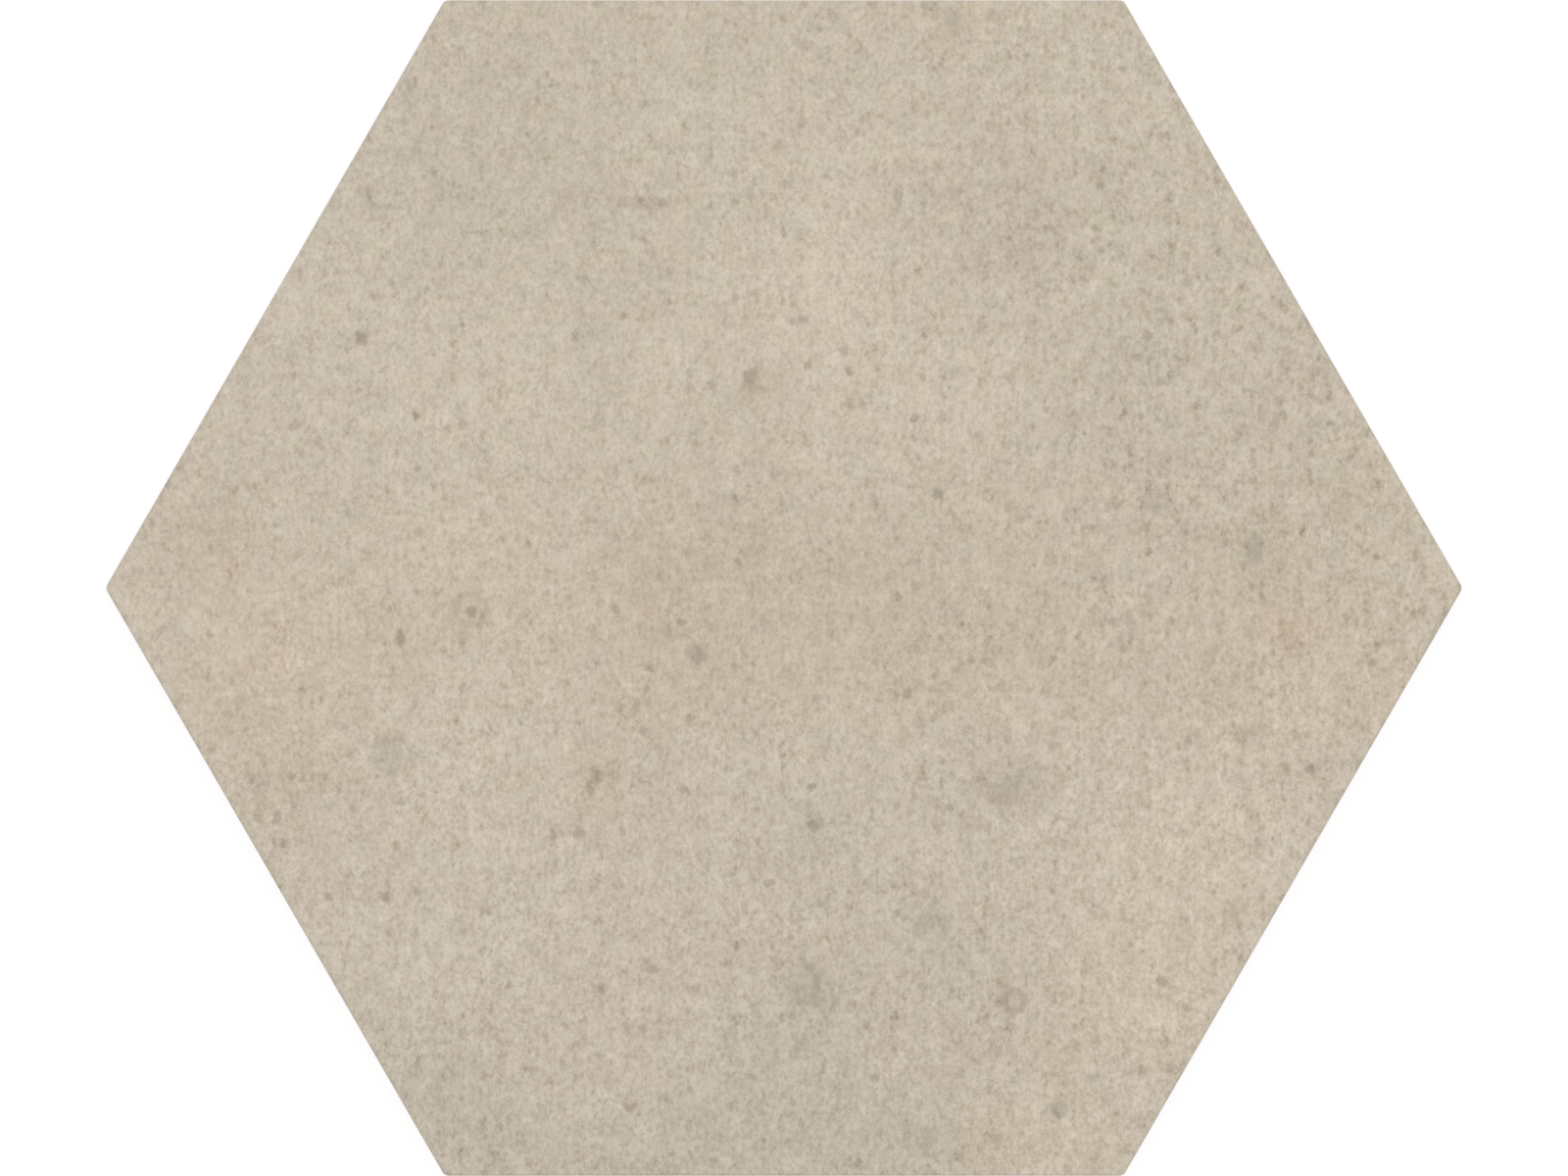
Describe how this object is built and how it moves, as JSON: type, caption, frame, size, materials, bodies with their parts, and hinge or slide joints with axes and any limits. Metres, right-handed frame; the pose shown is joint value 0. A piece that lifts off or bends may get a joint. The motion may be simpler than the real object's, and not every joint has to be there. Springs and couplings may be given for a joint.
{
  "type": "hexagon floor tile",
  "caption": "Flat hexagonal ceramic floor tile with a matt concrete-look face, a small rounded edge, bevelled sides and a honeycomb-keyed back.",
  "frame": {"origin": "middle of the back, in the plane that the tile rests on", "axes": "+Z out of the walking face, +X towards a corner, +Y towards the middle of a side"},
  "size_m": [0.2016, 0.175, 0.009],
  "materials": {
    "fired_tile": "matt printed concrete look, warm light grey"
  },
  "bodies": {
    "root": {"hexagon_tile": "fired_tile"}
  },
  "joints": []
}
